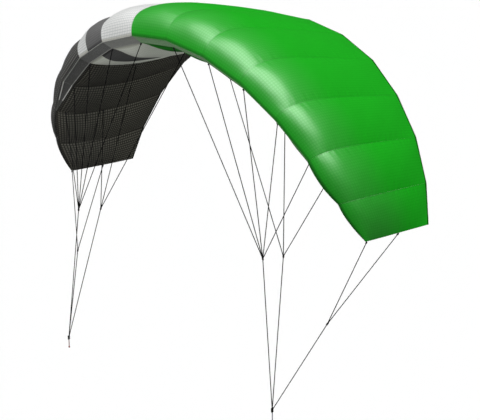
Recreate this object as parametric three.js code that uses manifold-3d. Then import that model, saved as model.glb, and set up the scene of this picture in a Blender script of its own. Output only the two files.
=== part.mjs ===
// A ram-air foil trainer kite, inflated and pulling on its two bridles.
// Lengths are in millimetres, angles in degrees. +X runs to the green tip, +Y from the leading
// edge to the trailing edge and +Z up. The origin is on the crown of the middle cell, where the
// air lifts the kite.

import * as THREE from 'three';
import { mergeVertices } from 'three/addons/utils/BufferGeometryUtils.js';
import Module from 'manifold-3d';

const wasm = await Module();
wasm.setup();

// Cloth and seams
const SKIN_THICK = 1.2;
const RIB_THICK = 1.0;
const MESH_THICK = 1.0;
const GAP = 0.3;

// One row for each rib of a half, from the middle outwards. across and drop place the rib's rear
// end, the drop counted from the first rib. lean is the rib's tilt from upright. front and rear
// are its two ends along Y. swell is the share of the full airfoil height that the rib has, and
// intake the share of the chord that the open nose takes from the lower skin.
const HALF_RIBS = [
  { across: 87, drop: 0, lean: 7.5, front: 0, rear: 660, swell: 1, intake: 0.055 },
  { across: 254, drop: 38, lean: 20, front: 7, rear: 654, swell: 1, intake: 0.052 },
  { across: 404, drop: 109, lean: 32.5, front: 24, rear: 643, swell: 1, intake: 0.052 },
  { across: 536, drop: 210, lean: 45, front: 50, rear: 619, swell: 1, intake: 0.046 },
  { across: 640, drop: 333, lean: 57.5, front: 91, rear: 594, swell: 1, intake: 0 },
  { across: 713, drop: 470, lean: 69, front: 151, rear: 563, swell: 1, intake: 0 },
  { across: 750, drop: 598, lean: 80, front: 233, rear: 533, swell: 0.14, intake: 0 },
];
const CHORD_TILT = 0.3;

// The airfoil: the height of a skin over the chord, as a share of the chord, is
// (1 - s) * (root * sqrt(s) + slope * s + bend * s * s) at the share s of the chord.
const UPPER = { name: 'upper', side: 1, root: 0.616, slope: -0.588, bend: 0.19, steps: 14 };
const LOWER = { name: 'lower', side: -1, root: 0.1615, slope: 0.0825, bend: -0.041, steps: 12 };
// Facets across one panel, and the least height at which a rib's thin rear end is cut off
const SPANS = 4;
const LEAST_RIB = 0.6;

// One row for each cell, from the dark tip to the green one: its cloth, and how far the middle of
// each skin swells out between the ribs, as a share of the cell's width
const CELLS = [
  { cloth: 'charcoal', upper: 0.1, lower: 0.08 },
  { cloth: 'charcoal', upper: 0.1, lower: 0.08 },
  { cloth: 'charcoal', upper: 0.09, lower: 0.08 },
  { cloth: 'charcoal', upper: 0.08, lower: 0.08 },
  { cloth: 'grey', upper: 0.08, lower: 0.1 },
  { cloth: 'white', upper: 0.08, lower: 0.16 },
  { cloth: 'green', upper: 0.08, lower: 0.09 },
  { cloth: 'green', upper: 0.08, lower: 0.07 },
  { cloth: 'green', upper: 0.08, lower: 0.08 },
  { cloth: 'green', upper: 0.08, lower: 0.08 },
  { cloth: 'green', upper: 0.09, lower: 0.08 },
  { cloth: 'green', upper: 0.1, lower: 0.08 },
  { cloth: 'green', upper: 0.1, lower: 0.08 },
];
// The swell grows over the first tenth of the chord and dies away towards the rear edge. Cells
// without an intake swell at the nose as well.
const FRONT_FADE = 0.1;
const REAR_FADE = 6;
const NOSE_SWELL = 0.6;

// Where the crown lies on the middle cell: half way across, and a quarter of the chord back
const CROWN_ACROSS = 0.5;
const CROWN_BACK = 0.5;

// The fifth cell from the dark tip is cut in two colours, with its pale strip on the dark side
const STRIP_CELL = 4;
const STRIP_SHARE = { upper: 0.38, lower: 0.5 };
// The last intake tapers to a point at a closed rib, and its mesh ends just before it
const POINT_END = 0.9;

// Bridle of the green side. The knots are counted from the height of the first rib's rear end, and
// a share tells how far back along its rib a line is tied.
const LINE_RADIUS = 0.9;
const LINE_SIDES = 6;
const KNOT_RADIUS = 3.4;
const TOW_RADIUS = 4.4;
const BEAD_RADIUS = 2.2;
const BEAD_LEAN = 28;
const KNOTS = {
  front: new THREE.Vector3(475, 50, -670),
  rear: new THREE.Vector3(470, 147, -682),
  tip: new THREE.Vector3(645, 169, -876),
  tow: new THREE.Vector3(534, 28, -1159),
};
const FRONT_ROW = { ribs: [1, 2, 3, 4, 5], share: 0.056 };
const REAR_ROW = { ribs: [1, 3, 5], share: 0.365 };
const TIP_ROW = { rib: 7, shares: [0.012, 0.508] };
const PIGTAIL = 33;
const STOPPER = { radius: 3, neck: 1.2, flat: 2, height: 6 };

const CLOTHS = {
  charcoal: { color: 0x3a3b3a, roughness: 0.62, metalness: 0 },
  grey: { color: 0x565757, roughness: 0.62, metalness: 0 },
  white: { color: 0xe9ebe9, roughness: 0.6, metalness: 0 },
  green: { color: 0x1fae27, roughness: 0.5, metalness: 0 },
  mesh: { color: 0x77797c, roughness: 0.8, metalness: 0 },
  cord: { color: 0x3c3c3e, roughness: 0.75, metalness: 0 },
};

const kite = new THREE.Group();

function addPiece(name, geometry, cloth) {
  const mesh = new THREE.Mesh(geometry, new THREE.MeshStandardMaterial(CLOTHS[cloth]));
  mesh.name = name;
  kite.add(mesh);
}

// Ribs: each one gets the directions of its own plane, chord and height inside it, side across it
function placeRib(row, half) {
  const lean = THREE.MathUtils.degToRad(row.lean * half);
  const tilt = THREE.MathUtils.degToRad(CHORD_TILT);
  const upright = new THREE.Vector3(Math.sin(lean), 0, Math.cos(lean));
  const along = new THREE.Vector3(0, 1, 0);
  const chord = along.clone().multiplyScalar(Math.cos(tilt)).addScaledVector(upright, Math.sin(tilt));
  const height = upright.clone().multiplyScalar(Math.cos(tilt)).addScaledVector(along, -Math.sin(tilt));
  const side = new THREE.Vector3().crossVectors(chord, height);
  const length = row.rear - row.front;
  const rearEnd = new THREE.Vector3(row.across * half, row.rear, -row.drop);
  const nose = rearEnd.clone().addScaledVector(chord, -length);
  return { ...row, half, chord, height, side, length, nose };
}

const ribs = [
  ...HALF_RIBS.map((row) => placeRib(row, -1)).reverse(),
  ...HALF_RIBS.map((row) => placeRib(row, 1)),
];

// A point of a rib's plane, from distances along the chord, up and across
function inRib(rib, along, up, across = 0) {
  return rib.nose.clone()
    .addScaledVector(rib.chord, along)
    .addScaledVector(rib.height, up)
    .addScaledVector(rib.side, across);
}

function turnedIn(rib, direction) {
  return rib.chord.clone().multiplyScalar(direction.x).addScaledVector(rib.height, direction.y);
}

// The outer face of a skin at a rib, a share of the way from the nose to the rear end, with the
// outward direction there
function airfoil(rib, skin, share) {
  const root = Math.sqrt(share);
  const sum = skin.root * root + skin.slope * share + skin.bend * share * share;
  const sumRate = root > 0 ? skin.root / (2 * root) + skin.slope + 2 * skin.bend * share : Infinity;
  const rate = rib.swell * ((1 - share) * sumRate - sum) + SKIN_THICK / rib.length;
  const up = GAP / 2 + rib.length * rib.swell * (1 - share) * sum + share * SKIN_THICK;
  const point = new THREE.Vector2(share * rib.length, skin.side * up);
  const outward = root > 0 ? new THREE.Vector2(-rate, skin.side).normalize() : new THREE.Vector2(-1, 0);
  return { point, outward };
}

// Stations lie closer together at the nose: step is 0 at a skin's front edge and 1 at its rear
function station(rib, skin, step) {
  const front = skin === LOWER ? rib.intake : 0;
  return airfoil(rib, skin, front + (1 - front) * step * step);
}

// A skin swells out between its two ribs, and lies straight along its front and rear edges
function skinPoint(cell, skin, step, across) {
  const [left, right] = [ribs[cell], ribs[cell + 1]];
  const [a, b] = [station(left, skin, step), station(right, skin, step)];
  const start = inRib(left, a.point.x, a.point.y, GAP / 2);
  const end = inRib(right, b.point.x, b.point.y, -GAP / 2);
  const outward = turnedIn(left, a.outward).lerp(turnedIn(right, b.outward), across).normalize();
  const back = step * step;
  const nose = left.intake + right.intake > 0 ? 0 : NOSE_SWELL;
  const growth = 1 - (1 - nose) * (1 - Math.min(1, back / FRONT_FADE)) ** 2;
  const swell = CELLS[cell][skin.name] * start.distanceTo(end) * growth * (1 - back ** REAR_FADE);
  const rise = swell * 4 * across * (1 - across);
  return { point: start.lerp(end, across).addScaledVector(outward, rise), outward };
}

// A closed sheet between two grids of points, rows along Y and columns along X
function sheetBetween(top, bottom) {
  const rows = top.length;
  const columns = top[0].length;
  const last = columns - 1;
  const points = [...top.flat(), ...bottom.flat()];
  const at = (layer, row, column) => (layer * rows + row) * columns + column;
  const faces = [];
  const quad = (a, b, c, d) => faces.push(a, b, c, a, c, d);
  for (let r = 0; r < rows - 1; r += 1) {
    for (let c = 0; c < columns - 1; c += 1) {
      quad(at(0, r, c), at(0, r, c + 1), at(0, r + 1, c + 1), at(0, r + 1, c));
      quad(at(1, r, c), at(1, r + 1, c), at(1, r + 1, c + 1), at(1, r, c + 1));
    }
    quad(at(0, r, 0), at(0, r + 1, 0), at(1, r + 1, 0), at(1, r, 0));
    quad(at(0, r + 1, last), at(0, r, last), at(1, r, last), at(1, r + 1, last));
  }
  for (let c = 0; c < columns - 1; c += 1) {
    quad(at(0, 0, c + 1), at(0, 0, c), at(1, 0, c), at(1, 0, c + 1));
    quad(at(0, rows - 1, c), at(0, rows - 1, c + 1), at(1, rows - 1, c + 1), at(1, rows - 1, c));
  }
  const geometry = new THREE.BufferGeometry().setFromPoints(points);
  geometry.setIndex(faces);
  return geometry;
}

// One panel of skin over a cell, or over the part of it between two shares of its width
function skinPanel(cell, skin, from, to) {
  const columns = Array.from({ length: SPANS + 1 }, (_, i) => from + ((to - from) * i) / SPANS);
  const outer = [];
  const inner = [];
  for (let r = 0; r <= skin.steps; r += 1) {
    const row = columns.map((across) => skinPoint(cell, skin, r / skin.steps, across));
    outer.push(row.map(({ point }) => point));
    inner.push(row.map(({ point, outward }) => point.clone().addScaledVector(outward, -SKIN_THICK)));
  }
  return skin === UPPER ? sheetBetween(outer, inner) : sheetBetween(inner, outer);
}

// Points of a rib's edge that leave it at least LEAST_RIB high on that side of the chord
function clipLow(points, side) {
  const tall = points.map((p) => p.y * side >= LEAST_RIB);
  const first = tall.indexOf(true);
  const last = tall.lastIndexOf(true);
  const cut = (low, high) => {
    const share = (high.y * side - LEAST_RIB) / ((high.y - low.y) * side);
    return high.clone().lerp(low, share);
  };
  const kept = points.slice(first, last + 1);
  if (first > 0) kept.unshift(cut(points[first - 1], points[first]));
  if (last < points.length - 1) kept.push(cut(points[last + 1], points[last]));
  return kept;
}

function ribEdge(rib, skin) {
  const inset = SKIN_THICK + GAP;
  const points = [];
  for (let i = 0; i <= skin.steps; i += 1) {
    const { point, outward } = station(rib, skin, i / skin.steps);
    points.push(point.addScaledVector(outward, -inset));
  }
  return clipLow(points, skin.side);
}

function ribPlate(rib) {
  const outline = [...ribEdge(rib, LOWER), ...ribEdge(rib, UPPER).reverse()];
  const plate = new THREE.ExtrudeGeometry(new THREE.Shape(outline), {
    depth: RIB_THICK,
    bevelEnabled: false,
  });
  plate.translate(0, 0, -RIB_THICK / 2);
  const place = new THREE.Matrix4().makeBasis(rib.chord, rib.height, rib.side).setPosition(rib.nose);
  return plate.applyMatrix4(place);
}

// The mesh of an intake at one rib: its outer and inner corners at the upper and the lower skin
function intakeCorners(rib) {
  const lip = airfoil(rib, LOWER, rib.intake);
  const top = new THREE.Vector2(0, -GAP / 2);
  const down = new THREE.Vector2(-lip.outward.y, lip.outward.x);
  const bottom = lip.point.clone().addScaledVector(down, -GAP);
  const band = rib.intake > 0 ? bottom.clone().sub(top).normalize() : new THREE.Vector2(0, -1);
  const inward = new THREE.Vector2(-band.y, band.x);
  const lipIn = lip.outward.clone().negate();
  const topIn = new THREE.Vector2(1, 0);
  return {
    topOut: top,
    topIn: top.clone().addScaledVector(topIn, MESH_THICK / topIn.dot(inward)),
    bottomOut: bottom,
    bottomIn: bottom.clone().addScaledVector(lipIn, MESH_THICK / lipIn.dot(inward)),
  };
}

function intakeMesh(cell) {
  const [left, right] = [ribs[cell], ribs[cell + 1]];
  const [a, b] = [intakeCorners(left), intakeCorners(right)];
  const from = left.intake > 0 ? 0 : 1 - POINT_END;
  const to = right.intake > 0 ? 1 : POINT_END;
  const between = (corner, across) => {
    const start = inRib(left, a[corner].x, a[corner].y, GAP / 2);
    return start.lerp(inRib(right, b[corner].x, b[corner].y, -GAP / 2), across);
  };
  const columns = [from, (from + to) / 2, to];
  const grid = (top, bottom) => [top, bottom].map((corner) => columns.map((u) => between(corner, u)));
  return sheetBetween(grid('topIn', 'bottomIn'), grid('topOut', 'bottomOut'));
}

for (let cell = 0; cell < ribs.length - 1; cell += 1) {
  const number = String(cell + 1).padStart(2, '0');
  for (const skin of [UPPER, LOWER]) {
    const label = `${skin.name}_${number}`;
    if (cell === STRIP_CELL) {
      const seam = GAP / 2 / (ribs[cell].across - ribs[cell + 1].across);
      const share = STRIP_SHARE[skin.name];
      addPiece(`${label}_strip`, skinPanel(cell, skin, 0, share - seam), 'white');
      addPiece(label, skinPanel(cell, skin, share + seam, 1), CELLS[cell].cloth);
    } else {
      addPiece(label, skinPanel(cell, skin, 0, 1), CELLS[cell].cloth);
    }
  }
  if (ribs[cell].intake + ribs[cell + 1].intake > 0) addPiece(`intake_${number}`, intakeMesh(cell), 'mesh');
}
ribs.forEach((rib, i) => {
  addPiece(`rib_${String(i + 1).padStart(2, '0')}`, ribPlate(rib), 'white');
});

// Bridles: straight lines, knots and the beads where a line is tied to the canopy
function solidOf(geometry) {
  const bare = geometry.clone();
  bare.deleteAttribute('normal');
  bare.deleteAttribute('uv');
  const merged = mergeVertices(bare, 1e-3);
  return new wasm.Manifold(new wasm.Mesh({
    numProp: 3,
    vertProperties: new Float32Array(merged.attributes.position.array),
    triVerts: new Uint32Array(merged.index.array),
  }));
}

function geometryOf(solid) {
  const mesh = solid.getMesh();
  const geometry = new THREE.BufferGeometry();
  geometry.setAttribute('position', new THREE.BufferAttribute(mesh.vertProperties, 3));
  geometry.setIndex(new THREE.BufferAttribute(mesh.triVerts, 1));
  return geometry;
}

function lineBetween(from, to) {
  const section = new THREE.Shape(Array.from({ length: LINE_SIDES }, (_, i) => {
    const turn = (2 * Math.PI * i) / LINE_SIDES;
    return new THREE.Vector2(LINE_RADIUS * Math.cos(turn), LINE_RADIUS * Math.sin(turn));
  }));
  const path = new THREE.LineCurve3(from, to);
  return new THREE.ExtrudeGeometry(section, { steps: 1, extrudePath: path });
}

function ball(centre, radius) {
  return new THREE.SphereGeometry(radius, 8, 4).translate(centre.x, centre.y, centre.z);
}

function joined(pieces) {
  return geometryOf(pieces.map(solidOf).reduce((whole, piece) => whole.add(piece)));
}

function knotsOf(half) {
  const placed = Object.entries(KNOTS).map(([key, point]) => [key, point.clone().setX(point.x * half)]);
  return Object.fromEntries(placed);
}

function ribOf(half, number) {
  const row = HALF_RIBS[number - 1];
  return ribs.find((rib) => rib.half === half && rib.across === row.across);
}

// A bead under the lower skin at a rib, clear of the two panels that swell out beside the seam
function underRib(half, number, share) {
  const rib = ribOf(half, number);
  const { point, outward } = airfoil(rib, LOWER, share);
  const away = (BEAD_RADIUS + GAP) / Math.cos(THREE.MathUtils.degToRad(BEAD_LEAN));
  point.addScaledVector(outward, away);
  return inRib(rib, point.x, point.y);
}

// A bead beyond the tip edge, at half the height between the two skins
function besideTip(half, share) {
  const rib = ribOf(half, TIP_ROW.rib);
  const middle = airfoil(rib, UPPER, share).point.add(airfoil(rib, LOWER, share).point).multiplyScalar(0.5);
  return inRib(rib, middle.x, middle.y, half * (BEAD_RADIUS + GAP + RIB_THICK / 2));
}

function cascade(beads, knot) {
  const pieces = beads.flatMap((bead) => [ball(bead, BEAD_RADIUS), lineBetween(bead, knot)]);
  return joined([ball(knot, KNOT_RADIUS), ...pieces]);
}

// The end of the pigtail: a turned knob with a flat foot, where a flying line is looped on
function stopper(top) {
  const { radius, neck, flat, height } = STOPPER;
  const profile = [
    new THREE.Vector2(0, 0),
    new THREE.Vector2(flat, 0),
    new THREE.Vector2(radius, height / 4),
    new THREE.Vector2(radius, (height * 3) / 4),
    new THREE.Vector2(neck, height),
    new THREE.Vector2(0, height),
  ];
  const knob = new THREE.LatheGeometry(profile, 12);
  return knob.rotateX(Math.PI / 2).translate(top.x, top.y, top.z - height);
}

for (const [half, label] of [[-1, 'dark'], [1, 'green']]) {
  const knots = knotsOf(half);
  const front = FRONT_ROW.ribs.map((number) => underRib(half, number, FRONT_ROW.share));
  const rear = REAR_ROW.ribs.map((number) => underRib(half, number, REAR_ROW.share));
  const tip = TIP_ROW.shares.map((share) => besideTip(half, share));
  addPiece(`bridle_front_${label}`, cascade(front, knots.front), 'cord');
  addPiece(`bridle_rear_${label}`, cascade(rear, knots.rear), 'cord');
  addPiece(`bridle_tip_${label}`, cascade(tip, knots.tip), 'cord');
  const mains = [knots.front, knots.rear, knots.tip].map((knot) => {
    const start = knot.clone().lerp(knots.tow, (KNOT_RADIUS + GAP) / knot.distanceTo(knots.tow));
    return lineBetween(start, knots.tow);
  });
  const foot = knots.tow.clone().setZ(knots.tow.z - PIGTAIL);
  const pigtail = lineBetween(knots.tow, foot.clone().setZ(foot.z - STOPPER.height / 2));
  const tow = joined([ball(knots.tow, TOW_RADIUS), ...mains, pigtail, stopper(foot)]);
  addPiece(`bridle_tow_${label}`, tow, 'cord');
}

const middle = (ribs.length - 2) / 2;
const crown = skinPoint(middle, UPPER, CROWN_BACK, CROWN_ACROSS).point;
kite.position.copy(crown).negate();

export default kite;
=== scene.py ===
# %% [markdown]
# # A trainer kite in flight
#
# A ram-air foil kite has no sticks. Air enters the nose through meshes, and its pressure holds
# two skins of thin nylon apart. Ribs sewn between the skins give them their section, and two
# cascades of thin line hold the canopy in an arch.
#
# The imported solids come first. They are the frame: every piece below lies where they lie, in the
# same metres, with +X towards the green tip, +Y towards the trailing edge and +Z up.

# %% Load the frame
import math

import bpy
import numpy as np
from mathutils import Matrix, Vector


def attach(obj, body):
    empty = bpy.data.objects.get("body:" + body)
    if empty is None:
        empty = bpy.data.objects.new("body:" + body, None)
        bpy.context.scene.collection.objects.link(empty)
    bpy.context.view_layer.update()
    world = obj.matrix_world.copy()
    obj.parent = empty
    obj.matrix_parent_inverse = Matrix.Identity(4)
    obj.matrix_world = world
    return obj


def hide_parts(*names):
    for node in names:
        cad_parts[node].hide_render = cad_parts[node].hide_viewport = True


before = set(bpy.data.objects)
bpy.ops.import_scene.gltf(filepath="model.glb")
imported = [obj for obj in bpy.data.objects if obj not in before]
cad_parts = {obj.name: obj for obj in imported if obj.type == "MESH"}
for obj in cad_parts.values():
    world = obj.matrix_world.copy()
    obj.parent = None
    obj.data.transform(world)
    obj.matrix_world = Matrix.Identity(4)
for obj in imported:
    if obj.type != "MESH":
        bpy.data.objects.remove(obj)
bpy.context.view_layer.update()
MM = 0.001

# %% [markdown]
# ## The camera
#
# The kite is the same on both halves, so the photograph shows each seam twice from two sides.
# That is enough to work out where the camera stood. It looks down a little from in front of the
# green half, with a long lens, and it is turned by less than a degree about its own line of sight.

# %% Camera
CAMERA_AT = Vector((4.1541, -3.6541, 0.6477))
CAMERA_TURN = math.radians(46.906)
CAMERA_DIP = math.radians(13.8145)
CAMERA_ROLL = math.radians(-0.8093)
LENS = 124.8

ahead = Vector((
    -math.sin(CAMERA_TURN) * math.cos(CAMERA_DIP),
    math.cos(CAMERA_TURN) * math.cos(CAMERA_DIP),
    -math.sin(CAMERA_DIP),
))
level = Vector((math.cos(CAMERA_TURN), math.sin(CAMERA_TURN), 0))
upward = level.cross(ahead)
right = level * math.cos(CAMERA_ROLL) + upward * math.sin(CAMERA_ROLL)
up = upward * math.cos(CAMERA_ROLL) - level * math.sin(CAMERA_ROLL)
facing = Matrix((right, up, -ahead)).transposed().to_4x4()

camera = bpy.data.objects.new("camera", bpy.data.cameras.new("camera"))
camera.data.lens = LENS
camera.data.sensor_fit = "HORIZONTAL"
camera.matrix_world = Matrix.Translation(CAMERA_AT) @ facing
bpy.context.scene.collection.objects.link(camera)
bpy.context.scene.camera = camera
print("camera at", CAMERA_AT, "looking along", ahead)

# %% [markdown]
# ## The ribs' section
#
# Everything on the kite hangs on its fourteen ribs, so their table is the heart of the model. A
# row places one rib of the green half: how far across and how low its rear end is, how far it
# leans, where its two ends are along Y, how full its section is and how much of its chord the
# intake takes. The dark half is the same table mirrored.
#
# The section itself is a formula. The height of a skin over the chord, at the share s of the
# chord, is (1 - s) times (root * sqrt(s) + slope * s + bend * s * s). The square root makes a
# round nose, and the factor (1 - s) closes the trailing edge.

# %% Rib table
# across, drop, lean in degrees, front, rear, swell and intake, with the lengths in millimetres
HALF_RIBS = np.array([
    (87, 0, 7.5, 0, 660, 1, 0.055),
    (254, 38, 20, 7, 654, 1, 0.052),
    (404, 109, 32.5, 24, 643, 1, 0.052),
    (536, 210, 45, 50, 619, 1, 0.046),
    (640, 333, 57.5, 91, 594, 1, 0),
    (713, 470, 69, 151, 563, 1, 0),
    (750, 598, 80, 233, 533, 0.14, 0),
])
CHORD_TILT = math.radians(0.3)
CAD_CLOTH = 1.2 * MM
CAD_GAP = 0.3 * MM
UPPER = {"name": "upper", "side": 1, "root": 0.616, "slope": -0.588, "bend": 0.19}
LOWER = {"name": "lower", "side": -1, "root": 0.1615, "slope": 0.0825, "bend": -0.041}


def both_halves(column, mirror=1):
    """A column of the table for all ribs, from the dark tip to the green one."""
    return np.concatenate([mirror * column[::-1], column])


across, drop, lean, front, rear, swell, intake = HALF_RIBS.T
lean = np.radians(both_halves(lean, -1))
swell = both_halves(swell)
intake = both_halves(intake)
length = both_halves(rear - front) * MM
rear_end = np.stack([both_halves(across, -1), both_halves(rear), -both_halves(drop)], 1) * MM

along = np.array([0.0, 1.0, 0.0])
upright = np.stack([np.sin(lean), 0 * lean, np.cos(lean)], 1)
chord = math.cos(CHORD_TILT) * along + math.sin(CHORD_TILT) * upright
height = math.cos(CHORD_TILT) * upright - math.sin(CHORD_TILT) * along
side = np.cross(chord, height)
nose = rear_end - chord * length[:, None]
print(len(length), "ribs, chords from", length.min().round(3), "to", length.max().round(3), "m")


# %% Section of a skin at a rib
def rib_line(rib, skin, share):
    """Points of a skin's outer face in a rib's plane, and the outward directions there.

    The point is nose + s * chord + side * h(s) * height, and the outward direction is the
    section's slope turned a quarter round.
    """
    s = np.maximum(share, 1e-9)
    bulge = skin["root"] * np.sqrt(s) + skin["slope"] * s + skin["bend"] * s**2
    rate = skin["root"] / (2 * np.sqrt(s)) + skin["slope"] + 2 * skin["bend"] * s
    lift = CAD_GAP / 2 + length[rib] * swell[rib] * (1 - s) * bulge + s * CAD_CLOTH
    tilt = swell[rib] * ((1 - s) * rate - bulge) + CAD_CLOTH / length[rib]
    size = np.sqrt(1 + tilt**2)
    point = nose[rib] + np.outer(s * length[rib], chord[rib])
    point = point + np.outer(skin["side"] * lift, height[rib])
    outward = np.outer(-tilt / size, chord[rib]) + np.outer(skin["side"] / size, height[rib])
    return point, outward


def unit(vectors):
    """Vectors divided by their own lengths."""
    return vectors / np.linalg.norm(vectors, axis=-1, keepdims=True)


# %% [markdown]
# ## Panels that swell
#
# Between two ribs the air pushes each skin out into a shallow bow. The bow is a parabola across
# the cell, 4 * u * (1 - u). It grows over the first tenth of the chord and dies away at the
# trailing edge. The origin is put on the crown of the middle cell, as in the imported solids.

# %% Swelling
# cloth, and the bows of the upper and of the lower skin as shares of the cell's width
CELLS = [
    ("charcoal", 0.10, 0.08),
    ("charcoal", 0.10, 0.08),
    ("charcoal", 0.09, 0.08),
    ("charcoal", 0.08, 0.08),
    ("grey", 0.08, 0.10),
    ("white", 0.08, 0.2),
    ("green", 0.08, 0.08),
    ("green", 0.08, 0.07),
    ("green", 0.08, 0.08),
    ("green", 0.08, 0.08),
    ("green", 0.09, 0.08),
    ("green", 0.10, 0.08),
    ("green", 0.10, 0.08),
]
FRONT_FADE = 0.1
REAR_FADE = 6
NOSE_SWELL = 0.6
CROWN_CELL = 6
CROWN_SHARE = 0.25


def swollen(cell, skin, back, u):
    """Grid of points on a skin, with the outward directions and the widths of the cell.

    Point = straight line between the two ribs at u, plus outward * width * bow * 4u(1 - u)
    * growth, where growth = 1 - (1 - nose) * (1 - back / FRONT_FADE) squared, times 1 - back to
    the power REAR_FADE. back is the share of the way from the panel's front edge to its rear.
    """
    edges = []
    for rib, inset in ((cell, 1), (cell + 1, -1)):
        first = intake[rib] if skin is LOWER else 0
        point, outward = rib_line(rib, skin, first + (1 - first) * back)
        edges.append((point + inset * side[rib] * CAD_GAP / 2, outward))
    (start, start_out), (end, end_out) = edges
    width = np.linalg.norm(end - start, axis=1)
    outward = unit(start_out[:, None] * (1 - u)[:, None] + end_out[:, None] * u[:, None])
    nose_share = NOSE_SWELL if intake[cell] + intake[cell + 1] == 0 else 0
    growth = 1 - (1 - nose_share) * (1 - np.minimum(1, back / FRONT_FADE)) ** 2
    growth = growth * (1 - back**REAR_FADE)
    bow = CELLS[cell][1 if skin is UPPER else 2]
    rise = np.outer(bow * width * growth, 4 * u * (1 - u))
    flat = start[:, None] * (1 - u)[:, None] + end[:, None] * u[:, None]
    return flat + outward * rise[..., None], outward, width


crown = swollen(CROWN_CELL, UPPER, np.array([CROWN_SHARE]), np.array([0.5]))[0][0, 0]
nose = nose - crown
print("the crown was at", (crown / MM).round(2), "mm and is now the origin")

# %% [markdown]
# ## From grids to closed sheets
#
# Cloth has two faces. Each sheet is made from an outer grid and an inner grid of points, joined
# by a rim, so that the mesh is closed. Two UV maps go with it. The first holds the place on the
# flat cloth in metres, for the weave. The second holds the distance to the nearest side seam and
# to the nearest end of the panel, for stitches and hems.

# %% Mesh helpers
SHARP_EDGE = math.radians(50)


def make_piece(name, points, faces, maps=None, smooth=True):
    """A mesh object at the origin, from arrays of points and faces and of UV pairs per point."""
    mesh = bpy.data.meshes.new(name)
    mesh.from_pydata(points.tolist(), [], faces)
    corner = np.zeros(len(mesh.loops), np.int32)
    mesh.loops.foreach_get("vertex_index", corner)
    for label, values in (maps or {}).items():
        layer = mesh.uv_layers.new(name=label)
        layer.data.foreach_set("uv", values[corner].astype(np.float32).ravel())
    mesh.polygons.foreach_set("use_smooth", np.full(len(mesh.polygons), smooth))
    mesh.set_sharp_from_angle(angle=SHARP_EDGE)
    mesh.validate()
    piece = bpy.data.objects.new(name, mesh)
    bpy.context.scene.collection.objects.link(piece)
    return piece


def grid_faces(rows, columns, start=0, flip=False, around=False):
    """Quads over a grid of points numbered row by row, closed across the columns if around."""
    last = columns if around else columns - 1
    r, c = np.meshgrid(np.arange(rows - 1), np.arange(last), indexing="ij")
    d = (c + 1) % columns
    corners = [r * columns + c, r * columns + d, (r + 1) * columns + d, (r + 1) * columns + c]
    quads = np.stack(corners, -1).reshape(-1, 4) + start
    return (quads[:, ::-1] if flip else quads).tolist()


def end_faces(count, sides):
    """The two faces that close a tube of count points: its first ring and its last, turned over."""
    return [list(range(sides)), list(range(count - 1, count - sides - 1, -1))]


def rim_faces(rows, columns, flip):
    """Quads that join the edges of an outer grid to those of the inner grid that follows it."""
    outer = np.arange(rows * columns).reshape(rows, columns)
    ring = np.concatenate([outer[0, :-1], outer[:-1, -1], outer[-1, :0:-1], outer[:0:-1, 0]])
    after = np.roll(ring, -1)
    below = rows * columns
    quads = np.stack([ring, ring + below, after + below, after], 1)
    return (quads[:, ::-1] if flip else quads).tolist()


def make_sheet(name, outer, inner, maps, flip=False):
    """A closed sheet: the outer grid, the inner grid turned over, and the rim between them."""
    rows, columns = outer.shape[:2]
    points = np.concatenate([outer.reshape(-1, 3), inner.reshape(-1, 3)])
    faces = grid_faces(rows, columns, flip=flip)
    faces += grid_faces(rows, columns, start=rows * columns, flip=not flip)
    faces += rim_faces(rows, columns, flip)
    doubled = {label: np.tile(values.reshape(-1, 2), (2, 1)) for label, values in maps.items()}
    return make_piece(name, points, faces, doubled)


def arc(points, axis=0):
    """Lengths along a grid's lines, from their start."""
    steps = np.linalg.norm(np.diff(points, axis=axis), axis=-1)
    return np.insert(np.cumsum(steps, axis=axis), 0, 0, axis=axis)


def area_of(points):
    """Area of a grid of points: half the crossed diagonals of each of its quads."""
    across_1 = points[1:, 1:] - points[:-1, :-1]
    across_2 = points[1:, :-1] - points[:-1, 1:]
    return np.linalg.norm(np.cross(across_1, across_2), axis=-1).sum() / 2


test_square = np.array([[(0, 0, 0), (1, 0, 0)], [(0, 1, 0), (1, 1, 0)]], float)
print("a test square measures", area_of(test_square), "square metres")

# %% [markdown]
# ## Finishes
#
# A finish is a material. Its pattern is worked out from the flat place on the cloth, so the
# weave runs along each panel as it was cut. To write the sums as sums, one small class wraps a
# socket: adding or multiplying two of them adds a Math node to the material.

# %% Node sums
THREAD_CORE = 0.35
THREAD_EDGE = 0.65


class Value:
    """A socket of a material that can stand in a sum."""

    def __init__(self, finish, socket):
        self.finish = finish
        self.socket = socket

    def math(self, operation, *others):
        """A Math node with this value as its first input."""
        inputs = dict(enumerate([self, *others]))
        return self.finish.node("ShaderNodeMath", {"operation": operation}, inputs)

    def __add__(self, other):
        return self.math("ADD", other)

    def __sub__(self, other):
        return self.math("SUBTRACT", other)

    def __rsub__(self, other):
        return (self * -1) + other

    def __mul__(self, other):
        return self.math("MULTIPLY", other)

    def __truediv__(self, other):
        return self.math("DIVIDE", other)

    __radd__ = __add__
    __rmul__ = __mul__


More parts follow.
